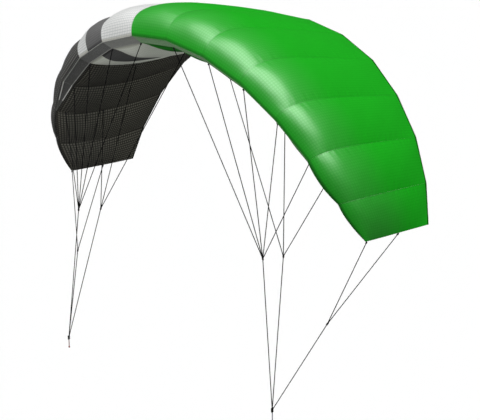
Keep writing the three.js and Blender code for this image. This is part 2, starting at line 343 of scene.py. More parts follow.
class Finish:
    """The nodes of a material, or of the world, under construction."""

    def __init__(self, owner):
        owner.use_nodes = True
        self.owner = owner
        self.tree = owner.node_tree
        self.tree.nodes.clear()

    def node(self, kind, settings=None, inputs=None, outputs=0):
        """A node of any kind: its settings first, then its sockets' values or links."""
        made = self.tree.nodes.new(kind)
        for key, value in (settings or {}).items():
            setattr(made, key, value)
        for key, value in (inputs or {}).items():
            if isinstance(value, Value):
                self.tree.links.new(value.socket, made.inputs[key])
            else:
                made.inputs[key].default_value = value
        if isinstance(outputs, tuple):
            return [Value(self, made.outputs[output]) for output in outputs]
        return Value(self, made.outputs[outputs]) if made.outputs else None

    def place(self, uv_map):
        """The two numbers of one of the piece's own UV maps."""
        pair = self.node("ShaderNodeUVMap", {"uv_map": uv_map})
        return self.node("ShaderNodeSeparateXYZ", inputs={0: pair}, outputs=(0, 1))

    def ramp(self, value, low, high, start=0.0, end=1.0):
        """start below low, end above high, and an even S between them."""
        settings = {"interpolation_type": "SMOOTHSTEP"}
        inputs = {0: value, 1: low, 2: high, 3: start, 4: end}
        return self.node("ShaderNodeMapRange", settings, inputs)

    def noise(self, scale, strength):
        """Soft random patches, half a strength up and down, that hold still on the piece."""
        spot = self.node("ShaderNodeTexCoord", outputs="Object")
        inputs = {"Vector": spot, "Scale": scale, "Detail": 2.0}
        return (self.node("ShaderNodeTexNoise", inputs=inputs) - 0.5) * strength

    def stripe(self, place, spacing, width):
        """1 on a thread and 0 between threads: how near place / spacing is to a whole number."""
        turn = place / spacing + 0.5
        off = (turn.math("FRACT") - 0.5).math("ABSOLUTE") * spacing
        return self.ramp(off, width * THREAD_CORE, width * THREAD_EDGE, 1.0, 0.0)

    def arch(self, place, spacing):
        """0 on a thread and 1 half way to the next: the size of sine of pi * place / spacing."""
        return (place * (math.pi / spacing)).math("SINE").math("ABSOLUTE")

    def blend(self, amount, first, second):
        """A mix of two colours."""
        settings = {"data_type": "RGBA"}
        return self.node("ShaderNodeMix", settings, {0: amount, 6: first, 7: second}, outputs=2)

    def surface(self, height=None, distance=0.3 * MM, **sockets):
        """The shader at the end, with an optional bump."""
        inputs = {key.replace("_", " "): value for key, value in sockets.items()}
        if height is not None:
            bump = {"Strength": 1.0, "Distance": distance, "Height": height}
            inputs["Normal"] = self.node("ShaderNodeBump", inputs=bump)
        shader = self.node("ShaderNodeBsdfPrincipled", inputs=inputs)
        self.node("ShaderNodeOutputMaterial", inputs={"Surface": shader})
        return self.owner


def new_finish(name):
    """An empty material to build on."""
    return Finish(bpy.data.materials.new(name))


def paint(red, green, blue):
    """A colour given as it is seen on a screen, from 0 to 255, in the light's own measure."""
    seen = np.array([red, green, blue]) / 255
    linear = np.where(seen <= 0.04045, seen / 12.92, ((seen + 0.055) / 1.055) ** 2.4)
    return (*linear.tolist(), 1.0)


print("white paint measures", np.round(paint(255, 255, 255), 2))

# %% [markdown]
# ## Ripstop nylon
#
# Spinnaker cloth is a very thin plain weave with thicker threads at even steps both ways, which
# stop a tear. The thick threads show as a fine grid, and the cloth between them stands up a
# little like small pillows. A thin coating gives a soft sheen where the air pulls the cloth
# tight, behind the nose. A row of stitches holds the panels beside each seam, and at the trailing
# edge the cloth is folded into a hem, so it looks darker there. Along the front edge of each panel
# the hem's darker paint is laid on as painted shade, strongest at the edge itself.

# %% Ripstop finish
PILLOW_RISE = 0.011
WEAVE_STEP = 0.9 * MM
WEAVE_THREAD = 0.5 * MM
STITCH_STEP = 3.2 * MM
STITCH_LENGTH = 2.2 * MM
STITCH_CORE = 0.3 * MM
STITCH_EDGE = 0.6 * MM
STITCH_ROW = 3.0 * MM
HEM_DEPTH = 10 * MM
HEM_ROW = 0.8 * HEM_DEPTH
HEM_BLUR = 0.5 * MM
# painted shade behind each panel's front edge: full up to the first distance, none beyond the second
NOSE_SHADE_SPAN = (1 * MM, 15 * MM)
# width beside each side seam over which the cloth is painted darker
SEAM_DARKENING_WIDTH = 5 * MM

# scale and strength of the patches where the cloth is worn
WORN_LARGE = (5.0, 0.16)
WORN_SMALL = (60.0, 0.08)
# how much of the hem's paint shows on each kind of place
# the share at the front edge is painted shade, not a hem
FOLDED_SHADE, NOSE_SHADE, SEAM_DARKENING, STITCH_SHADE = 0.85, 0.8, 0.08, 0.15
# heights beside a pillow's, which is 1
WEAVE_RELIEF, STITCH_RELIEF, FOLD_RELIEF = 0.02, 0.12, 0.15
# roughness of the ground, and what threads, wear and stitches add
ROUGH, THREAD_ROUGH, WORN_ROUGH, STITCH_ROUGH = 0.55, 0.1, 0.3, 0.15
# distances behind the nose between which the coating changes, and its share before and after
COAT_AT_NOSE = (0.0, 0.06, 0.25, 1.0)
COAT_BEHIND = (0.08, 0.3, 1.0, 0.06)
COAT_WEIGHT = 0.92
COAT_LOST_ON_THREAD = 0.19


def stitches(finish, distance, row_at, run):
    """A row of dashes along run, where distance is row_at."""
    away = (distance - row_at).math("ABSOLUTE")
    row = finish.ramp(away, STITCH_CORE, STITCH_EDGE, 1.0, 0.0)
    return row * finish.stripe(run, STITCH_STEP, STITCH_LENGTH)


def ripstop(name, cloth, threads, hem, spacing, width, painted_glow=0.0):
    """Cloth in paints for its ground, its thick threads and its hem.

    The thick threads are spacing apart and width wide, in millimetres. The last argument is the
    strength of a painted glow in the cloth's own colour, which stands in for daylight through it.
    """
    finish = new_finish(name)
    cloth, threads, hem = paint(*cloth), paint(*threads), paint(*hem)
    spacing, width = spacing * MM, width * MM
    flat_u, flat_v = finish.place("cloth")
    to_side, to_end = finish.place("edge")
    grid = finish.stripe(flat_u, spacing, width)
    grid = grid.math("MAXIMUM", finish.stripe(flat_v, spacing, width))
    pillow = finish.arch(flat_u, spacing) * finish.arch(flat_v, spacing)
    weave = finish.stripe(flat_u, WEAVE_STEP, WEAVE_THREAD)
    weave = weave + finish.stripe(flat_v, WEAVE_STEP, WEAVE_THREAD)
    stitch = stitches(finish, to_side, STITCH_ROW, flat_v)
    stitch = stitch.math("MAXIMUM", stitches(finish, to_end, HEM_ROW, flat_u))
    folded = finish.ramp(to_end, HEM_DEPTH - HEM_BLUR, HEM_DEPTH + HEM_BLUR, 1.0, 0.0)
    # painted shade at the front edge: the hem's paint, strongest at the edge and gone 15 mm behind
    # it
    turned = finish.ramp(flat_v, *NOSE_SHADE_SPAN, NOSE_SHADE, 0.0)
    # the cloth painted darker beside each side seam, fading out a few millimetres away
    seam_darkening = finish.ramp(to_side, 0.0, SEAM_DARKENING_WIDTH, SEAM_DARKENING, 0.0)
    worn = finish.noise(*WORN_LARGE) + finish.noise(*WORN_SMALL)

    colour = finish.blend(grid, cloth, threads)
    colour = finish.blend((folded * FOLDED_SHADE).math("MAXIMUM", turned), colour, hem)
    colour = finish.blend((seam_darkening + worn).math("MAXIMUM", 0.0), colour, hem)
    colour = finish.blend(stitch * STITCH_SHADE, colour, hem)
    tight = finish.ramp(flat_v, *COAT_BEHIND) * finish.ramp(flat_v, *COAT_AT_NOSE)
    return finish.surface(
        height=pillow + weave * WEAVE_RELIEF + stitch * STITCH_RELIEF + folded * FOLD_RELIEF,
        distance=PILLOW_RISE * spacing,
        Base_Color=colour,
        Roughness=ROUGH + grid * THREAD_ROUGH + worn * WORN_ROUGH + stitch * STITCH_ROUGH,
        Specular_IOR_Level=0.12,
        Coat_Weight=tight * (COAT_WEIGHT - grid * COAT_LOST_ON_THREAD),
        Coat_Roughness=0.45,
        Coat_IOR=2.2,
        # painted glow: the cloth shines in its own colour, though it is no lamp
        Emission_Color=colour,
        Emission_Strength=painted_glow,
    )


FINISHES = {
    "charcoal": ripstop(
        "charcoal ripstop", (134, 134, 131), (60, 60, 58), (24, 24, 23), 10.8, 4.2
    ),
    "grey": ripstop(
        "grey ripstop", (122, 122, 122), (102, 102, 102), (40, 40, 40), 8.5, 2.2
    ),
    "white": ripstop(
        "white ripstop", (250, 251, 249), (212, 215, 214), (172, 172, 158), 9.5, 2.6
    ),
    "green": ripstop(
        "green ripstop", (15, 183, 20), (13, 177, 18), (8, 96, 12), 9.4, 2.6
    ),
    # the charcoal again, darker and warmer, for the lower skins: painted shade
    "charcoal_below": ripstop(
        "charcoal ripstop with painted shade", (127, 125, 115), (51, 50, 43), (24, 24, 22), 10.8, 4.2
    ),
    # the white again, darker and yellower, for the lower skins: painted shade with a painted glow
    "white_below": ripstop(
        "white ripstop with painted shade and glow", (232, 237, 224), (220, 224, 211), (162, 164, 150), 9.5, 2.6,
        # a painted glow that stands in for daylight through the cloth
        painted_glow=0.1,
    ),
}
print(len(FINISHES), "ripstop finishes")

# %% [markdown]
# ## The skins
#
# Each skin panel is the swollen surface with the small things that thin cloth does. Stitching
# draws the cloth in, so short puckers stand beside every seam. At a rib the edge of the panel is
# folded inwards against the rib, and at the trailing edge the hem stands up by a small step.
# Columns of points lie closer together at the seams, and rows closer together at the nose.

# %% Rows and columns
CLOTH = 0.5 * MM
ROWS = 96
COLUMNS = 36
NOSE_CROWDING = 0.12
SEAM_CROWDING = 0.88
HEM_ROWS = np.array([1.3, 1.05, 0.95, 0.5, 0.1, 0])
LEAST_STEP = 0.004


def rows_of(panel_length):
    """Shares of the way back: (1 + k) t squared / (t + k), and then the steps of the hem."""
    t = np.linspace(0, 1, ROWS)
    back = (1 + NOSE_CROWDING) * t**2 / (t + NOSE_CROWDING)
    hem = 1 - HEM_ROWS * HEM_DEPTH / panel_length
    return np.concatenate([back[back < hem[0] - LEAST_STEP], hem])


def columns_of(low, high):
    """Shares of the way across: t - k sin(2 pi t) / 2 pi, laid between low and high."""
    t = np.linspace(0, 1, COLUMNS)
    return low + (high - low) * (t - SEAM_CROWDING * np.sin(2 * math.pi * t) / (2 * math.pi))


print(len(rows_of(length.max())), "rows and", COLUMNS, "columns on the middle panel")

# %% Puckers
PUCKER_RISE = 0.8 * MM
PUCKER_REACH = 9 * MM
PUCKER_WAVES = ((21 * MM, 0.55), (34 * MM, 0.45))
SLACK_RISE = 0.5 * MM
SLACK_WAVE = 120 * MM


def puckers(to_left, to_right, down, seed):
    """Height of the puckers: waves along each seam, times q * exp(1 - q), q = distance / reach.

    They vanish on the seam itself, where the rib holds the cloth. A slow wave over the whole
    panel is added, because cloth is never quite even.
    """
    draws = np.random.default_rng(seed)
    rise = np.zeros(np.broadcast_shapes(to_left.shape, down.shape))
    for q in (to_left / PUCKER_REACH, to_right / PUCKER_REACH):
        for wave, share in PUCKER_WAVES:
            turn = down / wave + draws.random()
            fade = q * np.exp(1 - q)
            rise = rise + PUCKER_RISE * share * fade * np.sin(2 * math.pi * turn)
    slow = np.sin(2 * math.pi * (down / SLACK_WAVE + draws.random()))
    held = np.sin(math.pi * to_left / (to_left + to_right))
    over = np.sin(2 * math.pi * (to_left / SLACK_WAVE + draws.random()))
    return rise + SLACK_RISE * slow * held * over


print("puckers up to", PUCKER_RISE / MM, "mm high")

# %% Skin panel
HEM_STEP = 0.35 * MM
HEM_RISE = 0.1 * HEM_DEPTH
HEM_START = 1.05 * HEM_DEPTH
HEM_THINNING = 40
TUCK = 2 * MM
LAP = 4 * MM
LAP_DEPTH = 2.4 * CLOTH
NOSE_CALM = 0.03
REAR_CALM = 8


def skin_panel(cell, skin, low=0.0, high=1.0, colour=None, label=""):
    """One panel of a skin between two shares of a cell's width, as a closed sheet.

    Outer point = swollen surface + outward * (puckers * calm + hem step), where calm falls to 0
    over the first NOSE_CALM of the panel and as 1 - back to the power REAR_CALM at its rear.
    """
    name = f"{skin['name']}_{cell + 1:02d}{label}"
    back = rows_of(length[cell])
    u = columns_of(low, high)
    smooth_points, outward, width = swollen(cell, skin, back, u)
    down = arc(swollen(cell, skin, back, np.array([0.5]))[0])
    to_rear = down[-1] - down
    to_left, to_right = width[:, None] * u, width[:, None] * (1 - u)
    calm = (1 - back**REAR_CALM)[:, None] * np.minimum(1, back / NOSE_CALM)[:, None]
    fold = np.clip((HEM_START - to_rear) / HEM_RISE, 0, 1)
    hem = HEM_STEP * fold * (1 - 0.5 * back[:, None] ** HEM_THINNING)
    rise = puckers(to_left, to_right, down, 2 * cell + (skin is LOWER)) * calm + hem
    outer = smooth_points + outward * rise[..., None]
    inner = outer - outward * CLOTH

    to_side = np.minimum(width[:, None] * (u - low), width[:, None] * (high - u))
    maps = {
        "cloth": np.stack(np.broadcast_arrays(width[:, None] * (u - 0.5), down), -1),
        "edge": np.stack(np.broadcast_arrays(to_side, to_rear), -1),
    }
    into_left = unit(smooth_points[:, 1] - smooth_points[:, 0])
    into_right = unit(smooth_points[:, -2] - smooth_points[:, -1])
    if low == 0:
        outer, inner, maps = tucked_in(outer, inner, outward[:, 0], into_left, maps)
    if high == 1:
        outer, inner, maps = (flipped(grid) for grid in (outer, inner, maps))
        outer, inner, maps = tucked_in(outer, inner, outward[:, -1], into_right, maps)
        outer, inner, maps = (flipped(grid) for grid in (outer, inner, maps))
    if label:
        outer, inner, maps = lapped_under(outer, inner, outward[:, -1], -into_right, maps)

    piece = make_sheet(f"cloth_{name}", outer, inner, maps, flip=skin is LOWER)
    colour = colour or CELLS[cell][0]
    # a lower skin takes the darker copy of its cloth where there is one: painted shade
    below = f"{colour}_below"
    seen = below if skin is LOWER and below in FINISHES else colour
    piece.data.materials.append(FINISHES[seen])
    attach(piece, "root")
    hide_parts(name)
    cut = (float(arc(smooth_points, 1)[:, -1].max()), float(down[-1, 0]))
    area = min(float(area_of(smooth_points)), cut[0] * cut[1])
    return piece, cut


def flipped(grid):
    """The columns of a grid, or of each grid in a set of maps, the other way round."""
    if isinstance(grid, dict):
        return {label: flipped(values) for label, values in grid.items()}
    return grid[:, ::-1]


def with_column(grid, column):
    """A grid with one more column at its left."""
    return np.concatenate([column[:, None], grid], axis=1)


def tucked_in(outer, inner, outward, into, maps):
    """The left edge folded inwards along the rib: the fold, and a column TUCK deeper."""
    edge = outer[:, 0]
    inner[:, 0] = edge + into * CLOTH - outward * CLOTH
    outer = with_column(outer, edge - outward * TUCK)
    inner = with_column(inner, edge - outward * TUCK + into * CLOTH)
    return outer, inner, {label: with_column(v, v[:, 0]) for label, v in maps.items()}


def lapped_under(outer, inner, outward, beyond, maps):
    """The right edge carried on for LAP under the neighbour that it is sewn to."""
    under = outer[:, -1] + beyond * LAP - outward * LAP_DEPTH
    outer = np.concatenate([outer, under[:, None]], axis=1)
    inner = np.concatenate([inner, (under - outward * CLOTH)[:, None]], axis=1)
    maps = {label: np.concatenate([v, v[:, -1:]], axis=1) for label, v in maps.items()}
    return outer, inner, maps


# %% All panels
STRIP_CELL = 4
STRIP_SHARE = {"upper": 0.38, "lower": 0.54}
panels = []
for skin in (UPPER, LOWER):
    for cell in range(len(CELLS)):
        if cell == STRIP_CELL:
            share = STRIP_SHARE[skin["name"]]
            seam = CAD_GAP / 2 / (rear_end[cell + 1, 0] - rear_end[cell, 0])
            panels.append(skin_panel(cell, skin, 0, share - seam, "white", "_strip"))
            panels.append(skin_panel(cell, skin, share + seam, 1))
        else:
            panels.append(skin_panel(cell, skin))
for piece, cut in panels:
    print(f"{piece.name}: cut {cut[0]:.3f} by {cut[1]:.3f} m")

# %% [markdown]
# ## Ribs
#
# The ribs are cut from plain cloth. From outside they show only through the meshes, and at the
# two tips, where the last rib closes the canopy and is cut from the tip's own colour. A rib is a
# thin flat plate between the two skins, so it is the straight blend of its lower and upper edge.

# %% Rib plates
RIB_CLOTH = 0.2 * MM
RIB_COLUMNS = 60
RIB_LEVELS = 7
RIB_END = 0.985
SKIN_PLAY = 0.1 * MM
NO_SEAM_NEAR = 0.05
TIP_CLOTHS = {0: "charcoal", 13: "green"}


def rib_plate(rib):
    """Plate point = (1 - t) * lower edge + t * upper edge, both drawn in by the skins' cloth."""
    share = np.linspace(0, 1, RIB_COLUMNS) ** 2 * RIB_END
    top, top_out = rib_line(rib, UPPER, share)
    bottom, bottom_out = rib_line(rib, LOWER, np.maximum(share, intake[rib]))
    bottom = bottom - bottom_out * (CLOTH + SKIN_PLAY)
    if intake[rib] > 0:
        mouth = np.clip(share / intake[rib], 0, 1)[:, None]
        bottom = bottom * mouth + nose[rib] * (1 - mouth)
    top = top - top_out * (CLOTH + SKIN_PLAY)
    level = np.linspace(0, 1, RIB_LEVELS)[:, None]
    middle = bottom[:, None] * (1 - level) + top[:, None] * level
    half = side[rib] * RIB_CLOTH / 2
    from_nose = middle - nose[rib]
    flat = np.stack([from_nose @ chord[rib], from_nose @ height[rib]], -1)
    maps = {"cloth": flat, "edge": np.full_like(flat, NO_SEAM_NEAR)}
    name = f"rib_{rib + 1:02d}"
    piece = make_sheet(f"cloth_{name}", middle + half, middle - half, maps)
    slot = TIP_CLOTHS.get(rib, "white")
    piece.data.materials.append(FINISHES[slot])
    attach(piece, "root")
    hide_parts(name)
    float(area_of(middle))
    return piece


ribs = [rib_plate(rib) for rib in range(len(length))]
print(len(ribs), "ribs")

# %% [markdown]
# ## Intakes
#
# The nose of each open cell is closed with a coarse net that lets air in and keeps it from
# rushing out. One can look through it into the dark cell, so the net is a pattern of holes in
# the finish. Each net has the tone of its cell, and its edges are bound.

# %% Net finish
NET_SPACING = 2.6 * MM
NET_THREAD = 0.95 * MM
NET_SLANT = 0.6
BAND = (2 * MM, 2.6 * MM)
SIDE_NARROWER = 2.5
NET_WORN = (40.0, 0.3)
NET_ROUGH = 0.7


def net(name, thread, binding):
    """Two crossing rows of slanting threads, joined by straight ones; what is between is open."""
    finish = new_finish(name)
    flat_u, flat_v = finish.place("cloth")
    to_side, to_end = finish.place("edge")
    rising = finish.stripe(flat_u + flat_v * NET_SLANT, NET_SPACING, NET_THREAD)
    falling = finish.stripe(flat_u - flat_v * NET_SLANT, NET_SPACING, NET_THREAD)
    straight = finish.stripe(flat_u, NET_SPACING / 2, NET_THREAD * 0.5)
    threads = rising.math("MAXIMUM", falling).math("MAXIMUM", straight)
    band = finish.ramp((to_side * SIDE_NARROWER).math("MINIMUM", to_end), *BAND, 1.0, 0.0)
    worn = finish.noise(*NET_WORN)
    bound = (band + worn).math("MAXIMUM", 0.0)
    return finish.surface(
        height=threads + band,
        Base_Color=finish.blend(bound, paint(*thread), paint(*binding)),
        Roughness=NET_ROUGH + worn * WORN_ROUGH,
        Alpha=threads.math("MAXIMUM", band),
        Sheen_Weight=0.1,
    )


NETS = {
    "charcoal": net("dark net", (112, 112, 110), (140, 141, 138)),
    "grey": net("grey net", (138, 139, 138), (140, 141, 140)),
    "white": net("white net", (190, 192, 188), (170, 172, 168)),
    "green": net("green net", (176, 222, 170), (150, 205, 144)),
}
print("net threads every", NET_SPACING / MM, "mm")

# %% Intake nets
NET_CLOTH = 0.4 * MM
NET_BOW = 2 * MM
NET_COLUMNS = 25
NET_ROWS = 9
POINT_END = 0.9


def intake_corners(rib):
    """The nose and the lip of a rib, between which the net is sewn."""
    lip, _ = rib_line(rib, LOWER, np.array([intake[rib]]))
    return nose[rib] - height[rib] * CAD_GAP / 2, lip[0]


def intake_net(cell):
    """Net point = blend of four corners, bowed inwards by NET_BOW * 4v(1 - v) * 4u(1 - u)."""
    first = 0 if intake[cell] > 0 else 1 - POINT_END
    last = 1 if intake[cell + 1] > 0 else POINT_END
    u = np.linspace(first, last, NET_COLUMNS)[:, None]
    v = np.linspace(0, 1, NET_ROWS)[:, None, None]
    nose_a, lip_a = (corner + side[cell] * CAD_GAP / 2 for corner in intake_corners(cell))
    nose_b, lip_b = (corner - side[cell + 1] * CAD_GAP / 2 for corner in intake_corners(cell + 1))
    top = nose_a * (1 - u) + nose_b * u
    low = lip_a * (1 - u) + lip_b * u
    flat = top * (1 - v) + low * v
    inward = unit(np.cross(nose_b - nose_a, lip_a + lip_b - nose_a - nose_b))
    inward = inward * np.sign(inward[1])
    grid = flat + inward * NET_BOW * 16 * u * (1 - u) * v * (1 - v)
    down, over = arc(grid), arc(grid, 1)
    to_end = np.minimum(down, down[-1] - down)
    to_side = np.minimum(over, over[:, -1:] - over)
    maps = {"cloth": np.stack([over, down], -1), "edge": np.stack([to_side, to_end], -1)}
    number = f"{cell + 1:02d}"
    piece = make_sheet(f"net_{number}", grid, grid + inward * NET_CLOTH, maps, flip=True)
    piece.data.materials.append(NETS[CELLS[cell][0]])
    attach(piece, "root")
    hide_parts(f"intake_{number}")
    cut = (float(over[:, -1].max()), float(down[-1].max()))
    float(area_of(grid))
    return piece, cut


open_cells = [cell for cell in range(len(CELLS)) if intake[cell] + intake[cell + 1] > 0]
for piece, cut in map(intake_net, open_cells):
    print(f"{piece.name}: cut {cut[0]:.3f} by {cut[1]:.3f} m")

# %% [markdown]
# ## Tubes along a path
#
# Lines, knots and piping are round threads. A ring of points is carried along a path, standing
# square to it at every step. The flat place of the surface goes into its UV map in metres, round
# the thread and along it, so a braid can run along it.

# %% Tube helper
LINE_SIDES = 8
NO_LINE_RUNS = (0.31, 0.52, 0.79)
NO_KNOT_TURNS = (0.3, 0.2, 0.9)


def tube(path, radius, sides=LINE_SIDES, towards=NO_LINE_RUNS):
    """Points, faces and UVs of a round thread: path + radius * (cos a * n + sin a * b).

    n is the direction towards, made square to the path, and b is square to both.
    """
    path = np.asarray(path, float)
    ahead = unit(np.gradient(path, axis=0))
    towards = np.broadcast_to(np.asarray(towards, float), path.shape)
    n = unit(towards - (towards * ahead).sum(1, keepdims=True) * ahead)
    b = np.cross(ahead, n)
    a = 2 * math.pi * np.arange(sides) / sides
    ring = n[:, None] * np.cos(a)[:, None] + b[:, None] * np.sin(a)[:, None]
    points = (path[:, None] + radius * ring).reshape(-1, 3)
    faces = grid_faces(len(path), sides, flip=True, around=True) + end_faces(len(points), sides)
    round_it = np.broadcast_to(np.abs(a / math.pi - 1) * math.pi * radius, (len(path), sides))
    flat = np.stack([round_it, np.broadcast_to(arc(path)[:, None], round_it.shape)], -1)
    return points, faces, flat.reshape(-1, 2)


def joined(parts):
    """Several meshes as one set of points, faces and UVs."""
    faces, start = [], 0
    for points, part_faces, _ in parts:
        faces += [[i + start for i in face] for face in part_faces]
        start += len(points)
    return np.concatenate([p[0] for p in parts]), faces, np.concatenate([p[2] for p in parts])


def thread_piece(name, parts, finish):
    """A piece made of round threads that rides with the kite."""
    points, faces, flat = joined(parts)
    piece = make_piece(name, points, faces, {"cloth": flat})
    piece.data.materials.append(FINISHES[finish])
    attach(piece, "root")
    return piece


test_tube = tube([(0, 0, 0), (0, 0, 1), (0, 0, 2)], 1)
print("a test tube has", len(test_tube[0]), "points and", len(test_tube[1]), "faces")

# %% Cord finishes
BRAID_STEP = 2.4 * MM
BRAID_STRAND = 0.9 * MM
BRAID_SLANT = 0.9
SOIL = paint(120, 121, 117)
SOIL_BLUR = 6 * MM
FUZZ = (300.0, 0.3)
STRAND_SHARE = 0.7
FUZZ_ROUGH = 0.2
BRAID_RELIEF = 0.2 * MM


def braid(name, strand, between, rough, soiled=0.0):
    """Two sets of strands that wind opposite ways: stripes of along + round and along - round.

    Up to the distance soiled from its start the thread is greyer.
    """
    finish = new_finish(name)
    round_it, run = finish.place("cloth")
    right_hand = finish.stripe(run + round_it * BRAID_SLANT, BRAID_STEP, BRAID_STRAND)
    left_hand = finish.stripe(run - round_it * BRAID_SLANT, BRAID_STEP, BRAID_STRAND)
    strands = right_hand.math("MAXIMUM", left_hand)
    fuzz = finish.noise(*FUZZ)
    shown = (strands * STRAND_SHARE + fuzz).math("MAXIMUM", 0.0)
    colour = finish.blend(shown, paint(*between), paint(*strand))
    if soiled:
        dirt = finish.ramp(run, soiled, soiled + SOIL_BLUR, 1.0, 0.0)
        colour = finish.blend(dirt, colour, SOIL)
    return finish.surface(
        height=strands,
        distance=BRAID_RELIEF,
        Base_Color=colour,
        Roughness=rough + fuzz * FUZZ_ROUGH,
        Specular_IOR_Level=0.2,
    )


FINISHES.update({
    "line": braid("bridle line", (22, 22, 23), (8, 8, 9), 0.9),
    "red_line": braid("red pigtail", (170, 62, 50), (110, 34, 28), 0.7),
    "blue_line": braid("blue pigtail", (96, 104, 128), (60, 66, 84), 0.7),
    "pale_piping": braid("pale piping", (252, 252, 248), (232, 232, 226), 0.65, 60 * MM),
    "grey_piping": braid("grey piping", (200, 201, 196), (166, 167, 162), 0.65),
    "green_piping": braid("green piping", (96, 160, 92), (58, 124, 56), 0.65),
    "tape": braid("bridle tape", (60, 60, 62), (34, 34, 36), 0.75),
})
print("finishes:", ", ".join(FINISHES))

# %% [markdown]
# ## Piping
#
# A cord is sewn along the nose of the upper skin and along the lip of the lower skin, from the
# first closed rib on one side to the first on the other. It runs straight from rib to rib, pale on
# the outermost dark cell, then grey, and green on the green cells.

# %% Piping
# finish, first rib, last rib and radius
PIPING_RUNS = (
    ("pale_piping", 2, 3, 1.8 * MM),
    ("grey_piping", 3, 6, 1.4 * MM),
    ("green_piping", 6, 11, 1.2 * MM),
)
PIPING_STEPS = 12

steps = np.linspace(0, 1, PIPING_STEPS + 1)[:-1, None]
for finish, start, stop, radius in PIPING_RUNS:
    corners = np.array([intake_corners(rib) for rib in range(start, stop + 1)])
    for index, label in enumerate(("nose", "lip")):
        stops = corners[:, index]
        runs = [a * (1 - steps) + b * steps for a, b in zip(stops[:-1], stops[1:])]
        path = np.concatenate([*runs, stops[-1:]])
        thread_piece(f"{finish}_{label}", [tube(path, radius)], finish)
        print(finish, label, "is", arc(path)[-1].round(3), "m long")

# %% [markdown]
# ## The bridles
#
# On each side five lines from the nose and three from over a third of the way back run to two
# knots, and two lines from the tip run to a third. Three main lines go on from the knots to the
# tow knot, which has a short pigtail with a stopper, where a flying line is looped on. All of
# them are pulled tight, so each one is straight.

# %% Bridle points
LINE_RADIUS = 1.5 * MM
KNOT_RADIUS = 3.4 * MM
TOW_RADIUS = 4.4 * MM
BEAD_RADIUS = 2.2 * MM
BEAD_LEAN = math.radians(28)
TIP_PLAY = 0.5 * MM
# places on the green half in millimetres, counted as the rib table counts them
KNOTS = {
    "front": (475, 50, -670),
    "rear": (470, 147, -682),
    "tip": (645, 169, -876),
    "tow": (534, 28, -1159),
}
# ribs are counted from the middle of the kite, and shares are of the chord
FRONT_RIBS, FRONT_SHARE = (0, 1, 2, 3, 4), 0.056
REAR_RIBS, REAR_SHARE = (0, 2, 4), 0.374
TIP_RIB, TIP_SHARES = 6, (0.012, 0.508)
PIGTAIL = 33 * MM
STOPPER_HEIGHT = 6 * MM


def rib_number(half, place):
    """Index of the rib at a place from the middle, on the green half (1) or the dark one (-1)."""
    return 7 + place if half > 0 else 6 - place


def under_rib(rib, share):
    """Where a line is tied under a rib, with the skin's point and the outward direction there."""
    point, outward = rib_line(rib, LOWER, np.array([share]))
    base, out = point[0], outward[0]
    bead = base + out * (BEAD_RADIUS + CAD_GAP) / math.cos(BEAD_LEAN)
    return {"bead": bead, "base": base, "out": out, "wide": np.cross(out, side[rib])}


def beside_tip(rib, share, half):
    """Where a tip line is tied, beyond the tip's edge, half way between the skins."""
    above, below = (rib_line(rib, skin, np.array([share]))[0][0] for skin in (UPPER, LOWER))
    base, out = (above + below) / 2, side[rib] * half
    bead = base + out * (BEAD_RADIUS + CAD_GAP + TIP_PLAY)
    return {"bead": bead, "base": base, "out": out, "wide": chord[rib]}


for tie in (under_rib(rib_number(1, 0), FRONT_SHARE), under_rib(rib_number(1, 0), REAR_SHARE)):
    print("a line is tied under the rib beside the middle at", tie["bead"].round(4))

# %% Knots, tabs and stoppers
LINE_STEPS = 14
KNOT_SIDES = 6
KNOT_STEPS = 14
WOUND_DEPTH = 1.4 * MM
WRAP_DEPTH = 0.5 * MM
WRAP_AT = 2 * MM
KNOT_TURNS, TOW_TURNS, WRAP_TURNS = 3, 5, 2
TAB_STEPS = 15
TAB_ROUNDNESS = 0.8
TAB_REACH = 6.2 * MM
TAB_ROOT = 0.8 * MM
TAB_SPREAD = 1.4 * MM
TAB_WIDTH = 4.8 * MM
TAB_THICK = 0.35 * MM
STOPPER_SIDES = 20
STOPPER_RADIUS = 3 * MM
# radii and heights of the turned profile
STOPPER_PROFILE = np.array([
    (1.1, 0), (1.9, -0.6), (2.7, -1.5), (3.0, -2.6), (3.0, -4.4), (2.8, -5.2), (2.0, -6),
]) * MM


def winding(centre, axis, radius, turns):
    """A line wound round an axis: the path of a helix whose turns lie side by side."""
    axis = unit(np.asarray(axis, float))
    first = unit(np.cross(axis, NO_KNOT_TURNS))
    second = np.cross(axis, first)
    a = np.linspace(0, 2 * math.pi * turns, KNOT_STEPS * turns + 1)[:, None]
    radial = first * np.cos(a) + second * np.sin(a)
    lift = (a / (2 * math.pi) - turns / 2) * 2 * LINE_RADIUS
    return tube(centre + radial * radius + axis * lift, LINE_RADIUS, KNOT_SIDES, radial)


def tab_loop(tie):
    """A loop of tape sewn into the seam, closed round the line: a flat strip along a drop shape.

    The path goes out by sine(pi t) to the power TAB_ROUNDNESS, and aside by sine(2 pi t).
    """
    t = np.linspace(0, 1, TAB_STEPS)[:, None]
    reach = TAB_REACH * np.sin(math.pi * t) ** TAB_ROUNDNESS - TAB_ROOT
    spread = TAB_SPREAD * np.sin(2 * math.pi * t)
    path = tie["base"] + tie["out"] * reach + np.cross(tie["out"], tie["wide"]) * spread
    half_width = tie["wide"] * TAB_WIDTH / 2
    thick = unit(np.cross(np.gradient(path, axis=0), tie["wide"])) * TAB_THICK
    ring = [
        path + half_width + thick, path - half_width + thick,
        path - half_width - thick, path + half_width - thick,
    ]
    points = np.stack(ring, 1).reshape(-1, 3)
    ends = [[3, 2, 1, 0], list(range(len(points) - 4, len(points)))]
    faces = grid_faces(len(path), 4, around=True) + ends
    run = arc(path)[:, None] * np.ones(4)
    flat = np.stack([np.broadcast_to([0.0, TAB_WIDTH, TAB_WIDTH, 0.0], run.shape), run], -1)
    return points, faces, flat.reshape(-1, 2)


